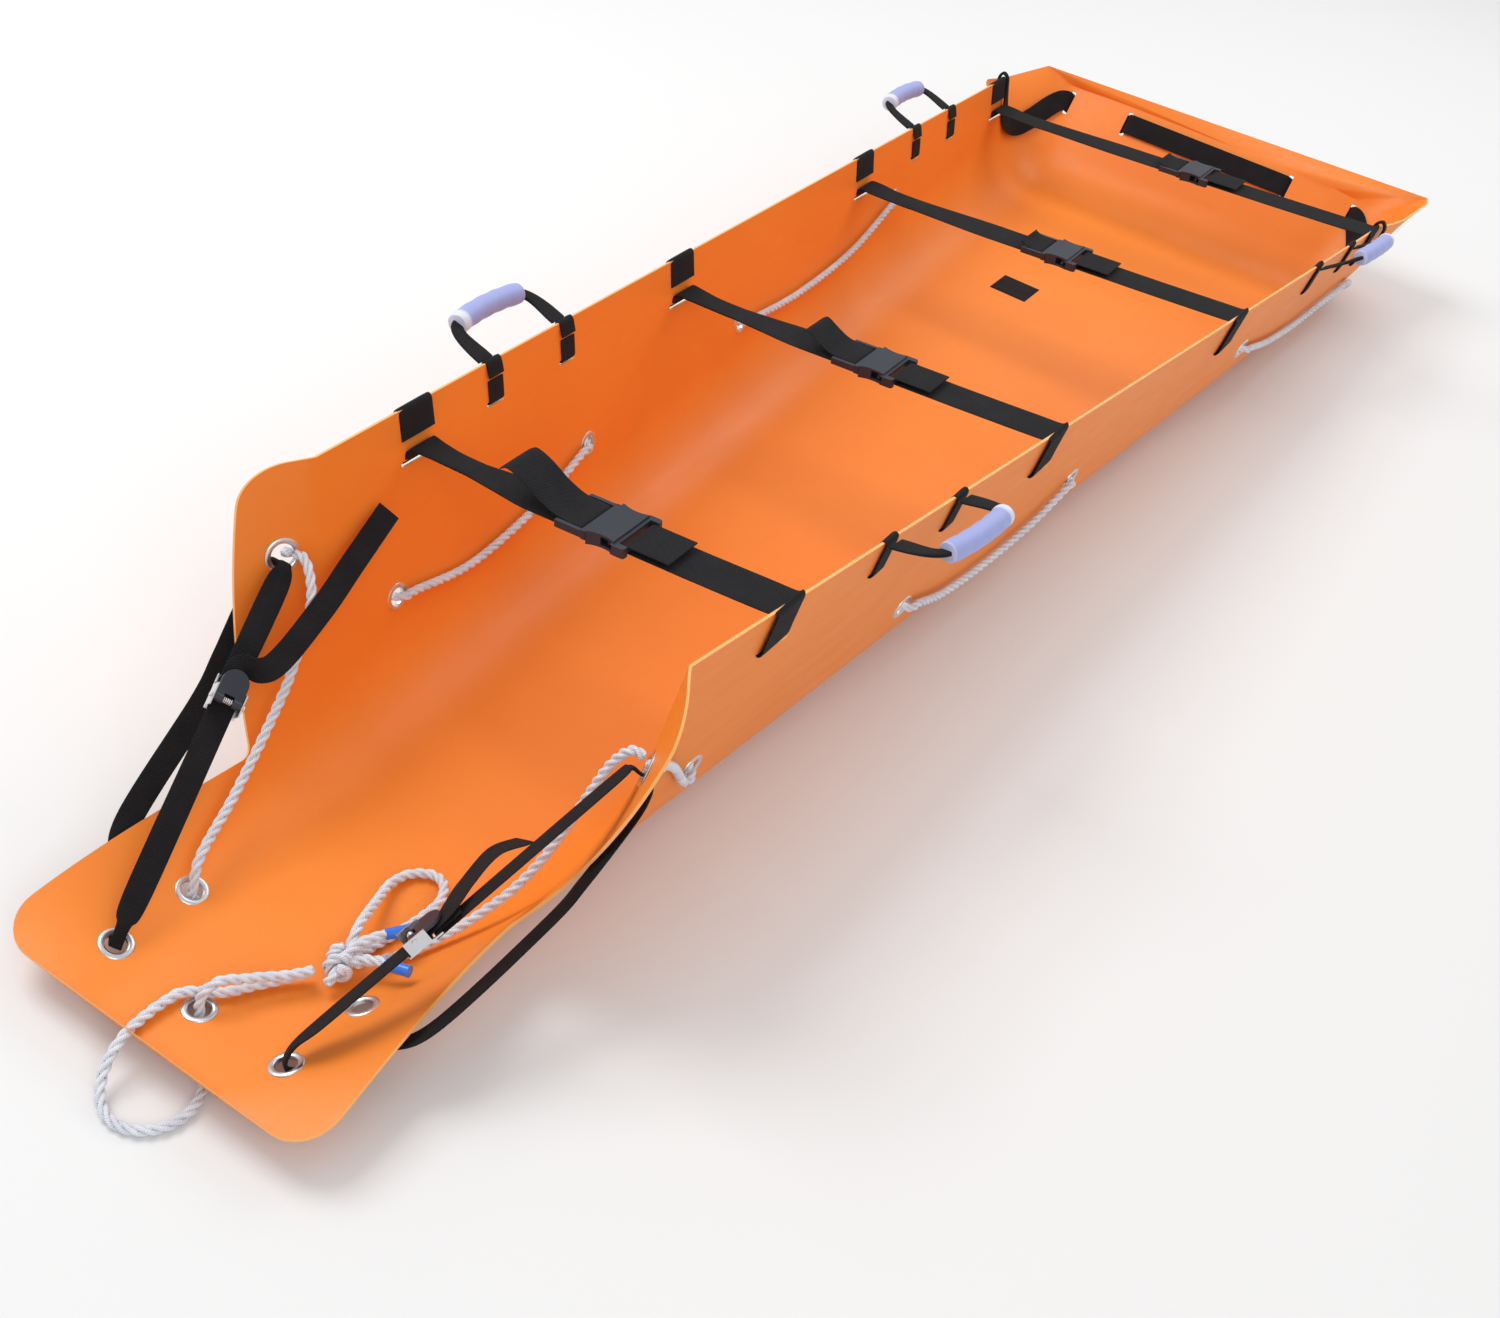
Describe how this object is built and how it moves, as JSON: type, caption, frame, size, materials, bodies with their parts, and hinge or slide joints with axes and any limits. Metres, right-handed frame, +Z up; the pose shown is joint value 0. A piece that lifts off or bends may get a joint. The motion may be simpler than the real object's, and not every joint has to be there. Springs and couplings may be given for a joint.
{
  "type": "roll-up rescue stretcher",
  "caption": "Roll-up rescue stretcher formed into a trough, with buckled patient straps, swinging carry handles, cam-buckled head straps and a laced rope.",
  "frame": {"origin": "on the ground, below the middle of the trough's length and width", "axes": "+X from the head tongue to the foot end, +Y to the side with the straps' long ends, +Z up"},
  "size_m": [2.4489, 0.7803, 0.3144],
  "materials": {
    "orange_sheet": "satin polyethylene sheet",
    "grommet_steel": "pressed eyelet",
    "cam_steel": "stamped steel",
    "white_rope": "laid polyester rope",
    "blue_tape": "wrapped tape",
    "black_webbing": "woven polyester webbing",
    "buckle_plastic": "moulded acetal",
    "grip_sleeve": "soft sleeve"
  },
  "bodies": {
    "stretcher": {"sheet": "orange_sheet", "tongue_grommets": "grommet_steel", "open_grommet": "grommet_steel", "wall_grommets": "grommet_steel", "side_rope": "white_rope", "far_head_rope": "white_rope", "near_head_rope": "white_rope", "bridle_rope": "white_rope", "bow_loop": "white_rope", "head_knot": "white_rope", "rope_end_a": "white_rope", "rope_end_b": "white_rope", "rope_stop": "white_rope", "rope_tape_a": "blue_tape", "rope_tape_b": "blue_tape", "foot_strap": "black_webbing", "strap_1_far_webbing": "black_webbing", "strap_1_near_webbing": "black_webbing", "strap_1_plug": "buckle_plastic", "strap_2_far_webbing": "black_webbing", "strap_2_near_webbing": "black_webbing", "strap_2_plug": "buckle_plastic", "strap_3_far_webbing": "black_webbing", "strap_3_near_webbing": "black_webbing", "strap_3_plug": "buckle_plastic", "strap_4_far_webbing": "black_webbing", "strap_4_near_webbing": "black_webbing", "strap_4_plug": "buckle_plastic", "far_front_handle_anchor": "black_webbing", "far_rear_handle_anchor": "black_webbing", "far_head_webbing": "black_webbing", "far_head_cam_frame": "cam_steel", "far_head_cam_pin": "cam_steel", "far_head_cam_spring": "cam_steel", "near_front_handle_anchor": "black_webbing", "near_rear_handle_anchor": "black_webbing", "near_head_webbing": "black_webbing", "near_head_cam_frame": "cam_steel", "near_head_cam_pin": "cam_steel", "near_head_cam_spring": "cam_steel"},
    "buckle_socket_1": {"strap_1_socket": "buckle_plastic"},
    "buckle_socket_2": {"strap_2_socket": "buckle_plastic"},
    "buckle_socket_3": {"strap_3_socket": "buckle_plastic"},
    "buckle_socket_4": {"strap_4_socket": "buckle_plastic"},
    "far_front_handle": {"far_front_handle_webbing": "black_webbing", "far_front_handle_grip": "grip_sleeve"},
    "far_rear_handle": {"far_rear_handle_webbing": "black_webbing", "far_rear_handle_grip": "grip_sleeve"},
    "near_front_handle": {"near_front_handle_webbing": "black_webbing", "near_front_handle_grip": "grip_sleeve"},
    "near_rear_handle": {"near_rear_handle_webbing": "black_webbing", "near_rear_handle_grip": "grip_sleeve"},
    "far_head_cam_lever": {"far_head_cam_lever": "buckle_plastic"},
    "near_head_cam_lever": {"near_head_cam_lever": "buckle_plastic"}
  },
  "joints": [
    {"name": "buckle_1_release", "type": "slide", "parent": "stretcher", "child": "buckle_socket_1", "axis": [0, -0.9953, 0.0963], "range_m": [0, 0.04], "deforming": ["strap_1_near_webbing"]},
    {"name": "buckle_2_release", "type": "slide", "parent": "stretcher", "child": "buckle_socket_2", "axis": [0, -0.9966, 0.0826], "range_m": [0, 0.04], "deforming": ["strap_2_near_webbing"]},
    {"name": "buckle_3_release", "type": "slide", "parent": "stretcher", "child": "buckle_socket_3", "axis": [0, -0.9974, 0.0723], "range_m": [0, 0.04], "deforming": ["strap_3_near_webbing"]},
    {"name": "buckle_4_release", "type": "slide", "parent": "stretcher", "child": "buckle_socket_4", "axis": [0, -0.9979, 0.0643], "range_m": [0, 0.04], "deforming": ["strap_4_near_webbing"]},
    {"name": "far_front_handle_swing", "type": "hinge", "parent": "stretcher", "child": "far_front_handle", "pos_m": [-0.41257, 0.24664, 0.27899], "axis": [0.9944, 0.0681, -0.0812], "range_deg": [-106, 70]},
    {"name": "far_rear_handle_swing", "type": "hinge", "parent": "stretcher", "child": "far_rear_handle", "pos_m": [0.71043, 0.32354, 0.18735], "axis": [0.9944, 0.0681, -0.0812], "range_deg": [-106, 70]},
    {"name": "near_front_handle_swing", "type": "hinge", "parent": "stretcher", "child": "near_front_handle", "pos_m": [-0.37257, -0.24938, 0.27573], "axis": [-0.9944, 0.0681, 0.0812], "range_deg": [-100, 76]},
    {"name": "near_rear_handle_swing", "type": "hinge", "parent": "stretcher", "child": "near_rear_handle", "pos_m": [0.82043, -0.33107, 0.17837], "axis": [-0.9944, 0.0681, 0.0812], "range_deg": [-123, 53]},
    {"name": "far_head_cam_release", "type": "hinge", "parent": "stretcher", "child": "far_head_cam_lever", "pos_m": [-0.94382, 0.15611, 0.15595], "axis": [0.5187, -0.6839, -0.513], "range_deg": [0, 50], "stiffness_Nm_per_rad": 0.03, "springref_deg": -22.92},
    {"name": "near_head_cam_release", "type": "hinge", "parent": "stretcher", "child": "near_head_cam_lever", "pos_m": [-1.01765, -0.13126, 0.11442], "axis": [-0.5187, -0.6839, 0.513], "range_deg": [0, 50], "stiffness_Nm_per_rad": 0.03, "springref_deg": -22.92}
  ]
}
